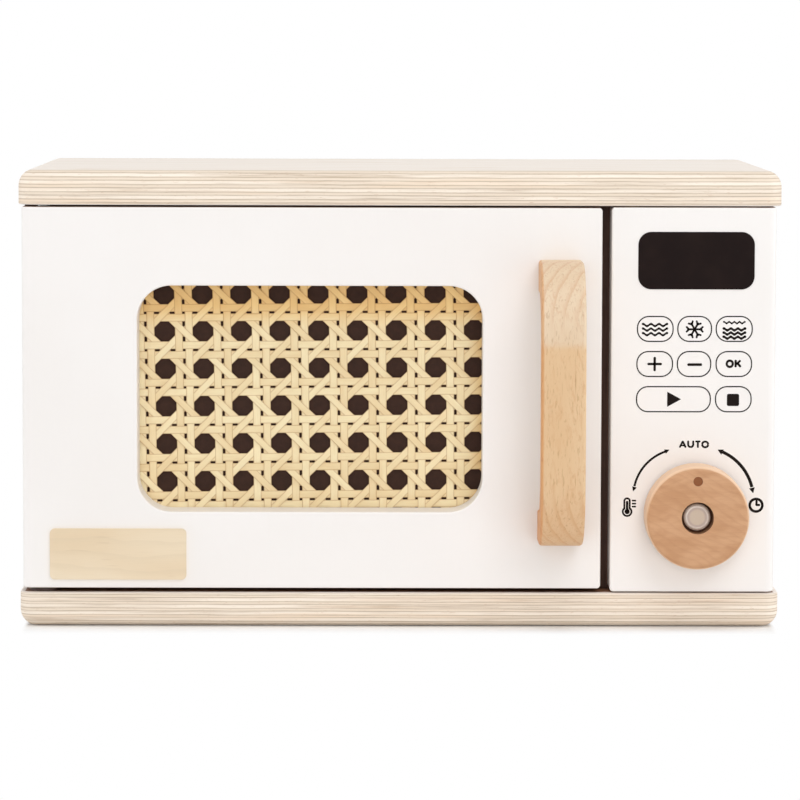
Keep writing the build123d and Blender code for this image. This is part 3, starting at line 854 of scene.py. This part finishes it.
@dataclass
class CaneWeave:
    """Woven cane in the door's window, strand over strand, in place of the flat CAD sheet."""

    pitch_x: float = 16.63
    pitch_z: float = 16.16
    centre: Pair = (-34.85, 101.1)
    upright: float = 3.3
    level: float = 3.3
    diagonal: float = 2.95
    spread_x: float = 2.2
    spread_z: float = 2.1
    gauge: float = 0.38
    crown: float = 0.12
    lift: float = 0.5
    dip: float = 0.25
    swell: float = 6.4
    steep: float = 2.2
    middle_y: float = -64.38
    columns: int = 4
    pair_rows: int = 16
    slant_rows: int = 12
    span_x: int = 11
    span_z: int = 8
    pairs_x: range = range(-4, 6)
    pairs_z: range = range(-3, 4)
    slants: range = range(-9, 11)
    uv_step: float = 37.0
    drift_x: tuple[float, ...] = (0.444, -0.0039, -0.0118, 7.1e-05, 9.7e-05, -8.0e-05)
    drift_z: tuple[float, ...] = (0.46, 0.0075, -0.0051, -4.0e-05, -1.2e-05, -1.29e-04)
    strands: list[Object] = field(default_factory=list)

    def _strand(
        self, width: float, pitch: float, spans: int, rows: int, wave: Callable[[float], float]
    ) -> Object:
        """Model one strand along Y at the origin, seen from above.

        Args:
            width: Width in millimetres.
            pitch: Length of a span in millimetres.
            spans: Number of spans.
            rows: Number of faces along each span.
            wave: Height in millimetres at a place along the strand.

        Returns:
            The strand.
        """
        length = spans * pitch
        made = Bench.grid(width, length, self.columns, spans * rows)
        Bench.raise_points(made, lambda p: wave(p.y) + self.crown * (1 - (2 * p.x / width) ** 2))
        Bench.thicken(made, self.gauge, outwards=False)
        for loop in made.data.uv_layers.active.data:
            loop.uv = (loop.uv[0] * 2 - 1, loop.uv[1] * length)
        Bench.take(made)
        bpy.ops.object.shade_smooth_by_angle(angle=math.radians(50))
        return made

    def _pair_wave(self, pitch: float, spread: float, sign: int, along: float) -> float:
        """Give the height of an upright or level strand that passes pairs of crossing strands.

        Args:
            pitch: Distance between the pairs in millimetres.
            spread: Half the distance between the two strands of a pair in millimetres.
            sign: 1 if it passes over the far strand of each pair, -1 if over the near one.
            along: Place along the strand in millimetres.

        Returns:
            The height in millimetres.
        """
        near = (along + pitch / 2) % pitch - pitch / 2
        total = 0.0
        for side in (-1, 1):
            gap = min(abs(near - side * spread), self.swell / 2)
            total += side * math.cos(math.pi * gap / self.swell) ** 2
        return sign * self.dip * total

    def _slant_wave(self, period: float, sign: int, along: float) -> float:
        """Give the height of a slanting strand at a place along it, over one pair and under the next."""
        swing = math.tanh(self.steep * math.cos(2 * math.pi * along / period))
        return sign * self.lift * swing / math.tanh(self.steep)

    def _lay(self, base: Object, turn: float, x: float, z: float) -> None:
        """Lay a copy of a strand in the window, with a tone and a part of the streaks of its own.

        Args:
            base: Strand along Y.
            turn: Turn of the strand in the window's plane, in radians.
            x: Place of its middle in millimetres.
            z: Place of its middle in millimetres.
        """
        number = len(self.strands)
        copy = base.copy()
        copy.data = base.data.copy()
        bpy.context.scene.collection.objects.link(copy)
        copy.matrix_world = Bench.upright(x, self.middle_y, z, turn)
        shade = (number * GOLDEN + 0.17) % 1.0
        tone = copy.data.attributes.new("tone", "FLOAT", "POINT")
        tone.data.foreach_set("value", [shade] * len(copy.data.vertices))
        for loop in copy.data.uv_layers.active.data:
            loop.uv = (loop.uv[0], loop.uv[1] + number * self.uv_step)
        self.strands.append(copy)

    def _drift(self, woven: Object) -> None:
        """Let the rows and columns run a little out of true, as woven cane does.

        Args:
            woven: The cane.
        """
        for point in woven.data.vertices:
            x, z = point.co.x / MM - self.centre[0], point.co.z / MM - self.centre[1]
            terms = (1.0, x, z, x * z, x * x, z * z)
            point.co.x += sum(a * b for a, b in zip(self.drift_x, terms)) * MM
            point.co.z += sum(a * b for a, b in zip(self.drift_z, terms)) * MM

    def build(self) -> None:
        """Weave the cane and cut it to the sheet's size."""
        mid_x, mid_z = self.centre
        bases: list[Object] = []
        for side in (-1, 1):
            over = partial(self._pair_wave, self.pitch_z, self.spread_z, -side)
            upright = self._strand(self.upright, self.pitch_z, self.span_z, self.pair_rows, over)
            over = partial(self._pair_wave, self.pitch_x, self.spread_x, side)
            level = self._strand(self.level, self.pitch_x, self.span_x, self.pair_rows, over)
            bases += [upright, level]
            for k in self.pairs_x:
                self._lay(upright, 0.0, mid_x + (k - 0.5) * self.pitch_x + side * self.spread_x, mid_z)
            for k in self.pairs_z:
                z = mid_z + k * self.pitch_z + side * self.spread_z
                self._lay(level, -math.pi / 2, mid_x + 0.5 * self.pitch_x, z)
        period = math.hypot(self.pitch_x, self.pitch_z)
        angle = math.atan2(self.pitch_x, self.pitch_z)
        for sign in (1, -1):
            over = partial(self._slant_wave, period, sign)
            slant = self._strand(self.diagonal, period, self.span_z, self.slant_rows, over)
            bases.append(slant)
            for k in self.slants:
                self._lay(slant, sign * angle, mid_x + (k - 0.5) * self.pitch_x, mid_z - 0.5 * self.pitch_z)
        Bench.take(*bases)
        bpy.ops.object.delete()
        Bench.settle(*self.strands)
        woven = Bench.join("woven_cane", self.strands)
        self._drift(woven)
        low, high = (Vector(corner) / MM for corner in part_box("cane_panel"))
        for corner, sign in ((low, -1), (high, 1)):
            Bench.cut(woven, (corner.x, 0, 0), (sign, 0, 0))
        for corner, sign in ((low, -1), (high, 1)):
            Bench.cut(woven, (0, 0, corner.z), (0, 0, sign))
        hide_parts("cane_panel")
        Bench.finish(woven, Cane().make(), "door", "woven_cane")


@dataclass
class Door(Group):
    """Woven window, bow handle, unpainted plaque and backing of the door."""

    weave: CaneWeave = field(default_factory=CaneWeave)
    finishes: Dressing = (
        (HandleWood(
            "handle_beech", seen(229, 206, 177), seen(224, 195, 161), seen(214, 174, 138),
            seen(184, 144, 106), Grain.HEIGHT, (0.19, -0.11, 0.004), wander=0.7, ring_share=0.58,
            fleck_share=0.42, ring_start=0.45,
        ), ("door_handle",)),
        (SolidWood(
            "plaque_birch", seen(238, 220, 192), seen(231, 209, 177), seen(222, 202, 172),
            seen(208, 184, 152), Grain.WIDTH, (0.004, 0.02, 0.16), wander=1.2, ring_share=0.3,
            fleck_share=0.25, seed=11.0,
        ), ("blank_plaque",)),
        (Plain(
            "dark_hardboard", seen(62, 42, 34), seen(56, 38, 31), 0.7, (0.3, 0.3, 0.3), 0.03, gloss=0.15
        ), ("cane_backing",)),
    )

    def build(self) -> None:
        """Weave the window and dress the door's nodes."""
        self.weave.build()
        super().build()


@dataclass
class Print:
    """Signs printed on the control panel: button outlines, icons, two words and the dial's scale."""

    paper: float = -82.48
    ink: float = 0.06
    outline: float = 0.52
    corner: float = 5.1
    buttons: tuple[tuple[float, float, float, float], ...] = (
        (108.34, 127.93, 15.64, 11.11),
        (125.06, 127.97, 14.80, 11.12),
        (141.86, 128.00, 15.79, 11.11),
        (108.21, 113.00, 15.64, 11.13),
        (124.92, 113.03, 14.68, 11.14),
        (141.82, 113.06, 15.58, 11.13),
        (116.28, 98.01, 31.87, 11.20),
        (141.74, 98.06, 15.64, 11.24),
    )
    round_end: float = 0.48
    oval_end: float = 0.495
    blunt: float = 0.18
    wave_steps: int = 12
    made: list[Object] = field(default_factory=list)

    def _put(self, sheet: Object, place: Pair, turn: float = 0.0) -> None:
        """Thicken a flat shape, put it on the panel and keep it.

        Args:
            sheet: The shape, looking up.
            place: Its place in millimetres.
            turn: Its turn in the panel's plane in radians.
        """
        Bench.thicken(sheet, self.ink, outwards=True)
        sheet.matrix_world = Bench.upright(place[0], self.paper, place[1], turn)
        self.made.append(sheet)

    def _plate(self, width: float, height: float, corner: float) -> Object:
        """Make a flat plate with round corners that looks up.

        Args:
            width: Width in millimetres.
            height: Height in millimetres.
            corner: Radius of its corners in millimetres.

        Returns:
            The plate.
        """
        made = Bench.grid(width, height, 1, 1)
        Bench.edit(made)
        bpy.ops.mesh.bevel(offset=corner * MM, offset_type="OFFSET", segments=8, affect="VERTICES")
        Bench.close()
        return made

    def _hollow(self, made: Object, line: float) -> None:
        """Turn a plate into a line along its rim.

        Args:
            made: The plate.
            line: Thickness of the line in millimetres.
        """
        Bench.edit(made)
        bpy.ops.mesh.inset(thickness=line * MM)
        bpy.ops.mesh.delete(type="FACE")
        Bench.close()

    def _bar(self, place: Pair, length: float, thick: float, turn: float = 0.0) -> None:
        """Print a straight line with round ends, by its middle."""
        self._put(self._plate(length, thick, thick * self.round_end), place, turn)

    def _wave(self, place: Pair, length: float, thick: float, swing: float, turns: int) -> None:
        """Print a wavy line with round ends.

        Args:
            place: Its middle in millimetres.
            length: Length in millimetres.
            thick: Thickness of the line in millimetres.
            swing: Half the height of its waves in millimetres.
            turns: Number of waves.
        """
        steps = self.wave_steps
        rows = turns * steps
        made = Bench.grid(length, thick, rows, 1)
        Bench.edit(made, everything=False)
        for step in range(steps):
            rise = swing * math.cos(2 * math.pi * step / steps)
            columns = {round(-length / 2 + length * k / rows, 3) for k in range(step, rows + 1, steps)}
            Bench.pick_points(made, lambda p: any(abs(p.x - c) < 0.01 for c in columns))
            bpy.ops.transform.translate(value=(0.0, rise * MM, 0.0))
        Bench.close()
        self._put(made, place)
        for end in (-length / 2, length / 2):
            cap = self._plate(thick, thick, thick * self.round_end)
            self._put(cap, (place[0] + end, place[1] + swing))

    def _lines(self, *lines: tuple[Pair, Pair, float]) -> None:
        """Print straight lines.

        Args:
            *lines: Start, end and thickness of each in millimetres.
        """
        for start, end, thick in lines:
            run = Vector(end) - Vector(start)
            middle = (Vector(start) + Vector(end)) / 2
            self._bar(tuple(middle), run.length + thick * 0.5, thick, math.atan2(run.y, run.x))

    def _ring(self, place: Pair, width: float, height: float, line: float, top: float = 9.0) -> None:
        """Print an oval ring.

        Args:
            place: Its middle in millimetres.
            width: Width in millimetres.
            height: Height in millimetres.
            line: Thickness of the line in millimetres.
            top: Height over its middle above which it is cut off, in millimetres.
        """
        made = self._plate(width, height, min(width, height) * self.oval_end)
        self._hollow(made, line)
        if top < height / 2:
            Bench.cut(made, (0, top, 0), (0, 1, 0), close=False)
        self._put(made, place)

    def _arc(self, centre: Pair, radius: float, line: float, cuts: Sequence[float]) -> None:
        """Print an arc.

        Args:
            centre: Centre in millimetres.
            radius: Radius of the line's middle in millimetres.
            line: Thickness of the line in millimetres.
            cuts: Angles at which it starts and ends, in degrees from +X towards +Z, under 180 apart.
        """
        bpy.ops.mesh.primitive_circle_add(vertices=96, radius=(radius + line / 2) * MM, fill_type="NGON")
        made = bpy.context.active_object
        self._hollow(made, line)
        first, last = (math.radians(value) for value in cuts)
        Bench.cut(made, (0, 0, 0), (math.sin(first), -math.cos(first), 0), close=False)
        Bench.cut(made, (0, 0, 0), (-math.sin(last), math.cos(last), 0), close=False)
        self._put(made, centre)

    def _head(self, place: Pair, length: float, width: float, turn: float) -> None:
        """Print an arrowhead.

        Args:
            place: Its tip in millimetres.
            length: Length in millimetres.
            width: Width at its back in millimetres.
            turn: Direction of the tip in degrees from +X towards +Z.
        """
        made = Bench.grid(length, width, 1, 1)
        Bench.edit(made, everything=False)
        Bench.pick_points(made, lambda p: p.x > 0)
        bpy.ops.mesh.merge(type="CENTER")
        bpy.ops.mesh.select_all(action="SELECT")
        bpy.ops.transform.translate(value=(-length / 2 * MM, 0.0, 0.0))
        bpy.ops.mesh.bevel(offset=self.blunt * MM, segments=3, affect="VERTICES")
        Bench.close()
        self._put(made, place, math.radians(turn))

    def _buttons(self) -> None:
        """Print the outlines of the buttons."""
        for x, z, width, height in self.buttons:
            plate = self._plate(width, height, self.corner)
            self._hollow(plate, self.outline)
            self._put(plate, (x, z))

    def _waves(self) -> None:
        """Print the two signs of wavy lines."""
        for z in (129.59, 127.65, 125.70):
            self._wave((108.22, z), 10.2, 1.0, 0.46, 3)
        self._wave((141.89, 130.67), 8.8, 0.82, 0.34, 4)
        for z in (127.79, 126.05, 124.28):
            self._wave((141.93, z), 9.0, 1.16, 0.4, 3)

    def _snowflake(self) -> None:
        """Print the sign of a snowflake."""
        centre = (125.06, 127.80)
        for k in range(3):
            self._bar(centre, 6.6, 0.84, math.radians(60 * k))
        for k in range(6):
            arm = math.radians(60 * k)
            root = Vector(centre) + Vector((math.cos(arm), math.sin(arm))) * 2.35
            for side in (-1, 1):
                branch = arm + side * math.radians(43)
                middle = root + Vector((math.cos(branch), math.sin(branch))) * 0.78
                self._bar(tuple(middle), 2.1, 0.8, branch)

    def _keys(self) -> None:
        """Print plus, minus, OK, start and stop."""
        self._bar((108.19, 113.00), 6.2, 1.05)
        self._bar((108.19, 113.00), 6.1, 1.05, math.pi / 2)
        self._bar((125.20, 112.78), 6.3, 1.15)
        self._ring((140.10, 113.16), 3.55, 3.65, 1.0)
        self._lines(
            ((142.6, 111.9), (142.6, 114.6), 1.0), ((143.0, 113.05), (144.55, 114.5), 0.92),
            ((143.4, 113.4), (144.65, 111.95), 1.0),
        )
        self._head((119.53, 98.00), 5.9, 6.5, 0.0)
        self._put(self._plate(5.2, 5.2, 0.75), (141.62, 97.75))

    def _word(self) -> None:
        """Print the word over the dial."""
        self._lines(
            ((120.4, 80.05), (119.15, 77.5), 0.82), ((120.4, 80.05), (121.65, 77.5), 0.82),
            ((119.6, 78.25), (121.2, 78.25), 0.62),
        )
        self._ring((123.79, 78.72), 2.97, 3.1, 0.84, top=0.0)
        self._lines(
            ((122.71, 78.5), (122.71, 80.15), 0.84), ((124.86, 78.5), (124.86, 80.15), 0.84),
            ((125.9, 79.98), (127.8, 79.98), 0.78), ((126.85, 77.45), (126.85, 79.9), 0.84),
        )
        self._ring((129.96, 78.72), 3.39, 3.25, 0.86)

    def _arrows(self) -> None:
        """Print the two bent arrows round the dial."""
        self._arc((119.73, 56.59), 20.2, 0.95, (109.0, 168.0))
        self._arc((128.33, 55.09), 22.35, 1.35, (14.0, 66.0))
        for x, z, length, width, turn in (
            (114.80, 76.48, 2.1, 2.0, 24.0), (99.36, 58.5, 2.1, 2.0, 252.0),
            (135.25, 76.52, 2.4, 2.5, 153.0), (150.6, 57.85, 2.4, 2.5, 284.0),
        ):
            self._head((x, z), length, width, turn)

    def _thermometer(self) -> None:
        """Print the thermometer and its three marks."""
        tube = self._plate(3.1, 6.75, 1.5)
        self._hollow(tube, 0.8)
        Bench.cut(tube, (0, -1.9, 0), (0, -1, 0), close=False)
        self._put(tube, (96.88, 52.6))
        foot = (96.94, 49.91)
        self._arc(foot, 1.85, 0.8, (135.0, 270.0))
        self._arc(foot, 1.85, 0.8, (270.0, 405.0))
        self._put(self._plate(2.2, 2.2, 1.05), foot)
        self._bar((96.91, 52.19), 4.7, 1.05, math.pi / 2)
        for z in (54.61, 53.33, 52.04):
            self._bar((99.84, z), 1.9, 0.72)

    def _clock(self) -> None:
        """Print the clock."""
        self._ring((151.86, 52.74), 6.5, 6.5, 1.12)
        self._bar((152.05, 53.75), 2.5, 0.95, math.pi / 2)
        self._bar((152.65, 52.85), 2.0, 0.95)

    def build(self) -> None:
        """Print all signs."""
        black, worn_and_highlight = seen(26, 19, 17), seen(32, 25, 22)
        ink = Plain("print_ink", black, worn_and_highlight, 0.6, (3.0, 3.0, 3.0), 0.005, gloss=0.08).make()
        pieces = {
            "button_outlines": (self._buttons,),
            "button_signs": (self._waves, self._snowflake, self._keys),
            "dial_scale": (self._word, self._arrows, self._thermometer, self._clock),
        }
        for name, prints in pieces.items():
            for sign in prints:
                sign()
            Bench.settle(*self.made)
            Bench.finish(Bench.join(name, self.made), ink, "case", "black_acrylic")
            self.made = []


@dataclass
class Controls(Group):
    """Display, printed signs and clicking dial."""

    signs: Print = field(default_factory=Print)
    finishes: Dressing = (
        (Plain(
            "display_film", seen(29, 20, 19), seen(34, 24, 22), 0.42, (0.08, 0.08, 0.08), 0.01, gloss=0.07
        ), ("display_plate",)),
        (DialWood(
            "dial_wood", seen(209, 162, 123), seen(194, 145, 105), seen(178, 126, 90), seen(168, 114, 78),
            Grain.WIDTH, (0.16, 0.02, 0.27), wander=3.4, ring_share=0.17, fleck_share=0.2, figure=0.16,
            rough=0.44, seed=3.0,
        ), ("dial_knob",)),
        (SatinCap(), ("dial_cap",)),
    )

    def build(self) -> None:
        """Print the panel and dress the display and the dial."""
        self.signs.build()
        super().build()


@dataclass
class Fittings(Group):
    """Turntable, pins, screws, dowels, magnets and the click mechanism."""

    finishes: Dressing = (
        (SolidWood(
            "turntable_beech", seen(236, 208, 168), seen(226, 190, 148), seen(204, 160, 116),
            seen(178, 130, 88), Grain.WIDTH, (0.01, 0.09, 0.06), wander=1.6, ring_share=0.5, seed=21.0,
        ), ("turntable_plate",)),
        (SolidWood(
            "dowel_beech", seen(232, 204, 164), seen(222, 188, 146), seen(200, 158, 116),
            seen(178, 130, 88), Grain.HEIGHT, (0.3, 0.2, 0.0), ring_share=0.4, seed=5.0,
        ), ("turntable_pin", "top_dowels", "panel_dowels")),
        (Plain("zinc_steel", seen(196, 196, 192), seen(172, 173, 172), 0.34, (1.5, 1.5, 1.5), metal=1.0), (
            "base_screws", "back_screws", "backing_screws", "handle_screws",
            "click_spring_screw", "upper_hinge_pin", "lower_hinge_pin", "dial_axle",
        )),
        (Plain(
            "blued_spring", seen(96, 100, 110), seen(72, 74, 86), 0.3, (0.8, 0.8, 0.8), 0.01, metal=1.0
        ), ("click_spring", "axle_retainer")),
        (Plain(
            "bright_nickel", seen(214, 208, 198), seen(200, 194, 184), 0.16, (0.6, 0.6, 0.6), 0.01,
            metal=1.0,
        ), ("door_magnet", "case_magnet")),
        (Plain(
            "white_nylon", seen(232, 229, 220), seen(224, 220, 210), 0.42, (0.4, 0.4, 0.4)
        ), ("dial_washer", "click_wheel", "turntable_washer")),
        (Plain(
            "brown_nylon", seen(70, 48, 38), seen(62, 42, 34), 0.42, (0.4, 0.4, 0.4)
        ), ("hinge_washer",)),
    )


@dataclass
class Studio:
    """Pale floor, soft lights and the camera of the photograph.

    A lamp is given by its name, its place and the side of its square in metres, and its power in watts.
    The dull ones don't show in reflections. The floor is shaded near the object, up to shade_x and
    shade_y millimetres from its middle and a little beyond.
    """

    floor_size: float = 8.0
    sky: float = 0.45
    lamps: tuple[tuple[str, Triple, float, float], ...] = (
        ("key", (0.55, -1.5, 1.2), 0.8, 6.6),
        ("fill", (-0.15, -3.2, 0.45), 2.2, 27.0),
        ("top", (0.1, -0.5, 2.1), 1.0, 9.8),
        ("left", (-2.4, 0.1, 0.7), 1.4, 15.0),
        ("right", (2.4, 0.1, 0.7), 1.4, 15.0),
        ("back", (0.0, 2.6, 0.5), 1.6, 19.5),
    )
    dull: tuple[str, ...] = ("fill", "back", "top")
    lamp_colour: Triple = (0.985, 1.0, 1.015)
    sky_colour: Colour = (1.0, 0.993, 0.985, 1.0)
    white: Colour = (1.0, 1.0, 1.0, 1.0)
    aim: Triple = (0.02, -0.06, 0.1)
    shade_x: float = 158.0
    shade_y: float = 80.0
    camera_place: Triple = (-0.01135, -1.8522, 0.2533)
    yaw: float = 0.37
    pitch: float = -5.033
    roll: float = 0.146
    lens: float = 188.18

    def _floor(self) -> None:
        """Lay the floor. Away from the object the camera sees it as plain white."""
        bpy.ops.mesh.primitive_plane_add(size=self.floor_size)
        floor = bpy.context.active_object
        floor.name = "floor"
        tree = FinishTree("pale_floor")
        rays = tree.node("LightPath", out="Is Camera Ray")
        out_x = (abs(tree.x) - self.shade_x).most(0.0) * 9.0
        away = out_x.reach((abs(tree.y) - self.shade_y).most(0.0)).rise(1.0, 26.0)
        white = tree.node("Emission", sockets={"Color": self.white, "Strength": 1.0})
        cloth = tree.noise((0.02, 0.02, 0.02), detail=3.0)
        grey = tree.mix(cloth, seen(248, 248, 248), seen(244, 244, 244))
        floor.data.materials.append(tree.dress(
            grey, 0.8, gloss=0.2,
            cover=lambda shader: tree.node("MixShader", sockets={0: rays * away, 1: shader, 2: white}),
        ))

    def _sky(self) -> None:
        """Light the room evenly, and show white behind the object and in its reflections."""
        world = bpy.data.worlds.new("studio")
        bpy.context.scene.world = world
        world.use_nodes = True
        board = Board(world.node_tree)
        camera, glossy, clear = (
            board.node("LightPath", out=f"Is {kind} Ray")
            for kind in ("Camera", "Glossy", "Transmission")
        )
        dim, white = (
            board.node("Background", sockets={"Color": colour, "Strength": strength})
            for colour, strength in ((self.sky_colour, self.sky), (self.white, 1.0))
        )
        shown = camera.most(glossy).most(clear)
        mixed = board.node("MixShader", sockets={0: shown, 1: dim, 2: white})
        board.end("World", mixed)

    def _lamp(self, name: str, place: Triple, size: float, power: float) -> None:
        """Hang a square soft lamp that looks at the object.

        Args:
            name: Name of the lamp.
            place: Place in metres.
            size: Side of the lamp in metres.
            power: Power in watts.
        """
        data = bpy.data.lights.new(name, "AREA")
        data.shape = "SQUARE"
        data.size = size
        data.energy = power
        data.color = self.lamp_colour
        lamp = bpy.data.objects.new(name, data)
        bpy.context.scene.collection.objects.link(lamp)
        lamp.location = place
        lamp.rotation_euler = (Vector(self.aim) - Vector(place)).to_track_quat("-Z", "Y").to_euler()
        lamp.visible_glossy = name not in self.dull

    def _camera(self) -> None:
        """Place the camera where the photograph was taken from."""
        data = bpy.data.cameras.new("photo_camera")
        data.lens = self.lens
        data.sensor_width = 36.0
        data.clip_start, data.clip_end = 0.05, 50.0
        camera = bpy.data.objects.new("photo_camera", data)
        bpy.context.scene.collection.objects.link(camera)
        stand = Matrix.Translation(self.camera_place)
        turn = Matrix.Rotation(-math.radians(self.yaw), 4, "Z")
        tilt = Matrix.Rotation(math.radians(90 + self.pitch), 4, "X")
        camera.matrix_world = stand @ turn @ tilt @ Matrix.Rotation(math.radians(self.roll), 4, "Z")
        bpy.context.scene.camera = camera

    def build(self) -> None:
        """Set up the studio."""
        self._floor()
        self._sky()
        for name, place, size, power in self.lamps:
            self._lamp(name, place, size, power)
        self._camera()
        bpy.context.scene.view_settings.view_transform = "Standard"
        log.info("studio with floor, %d lamps and camera", len(self.lamps))


def main() -> None:
    """Build and dress the toy microwave."""
    logging.basicConfig(level=logging.INFO, format="%(message)s")
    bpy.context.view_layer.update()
    for part in (Studio(), Case(), Door(), Controls(), Fittings()):
        part.build()


if __name__ == "__main__":
    main()
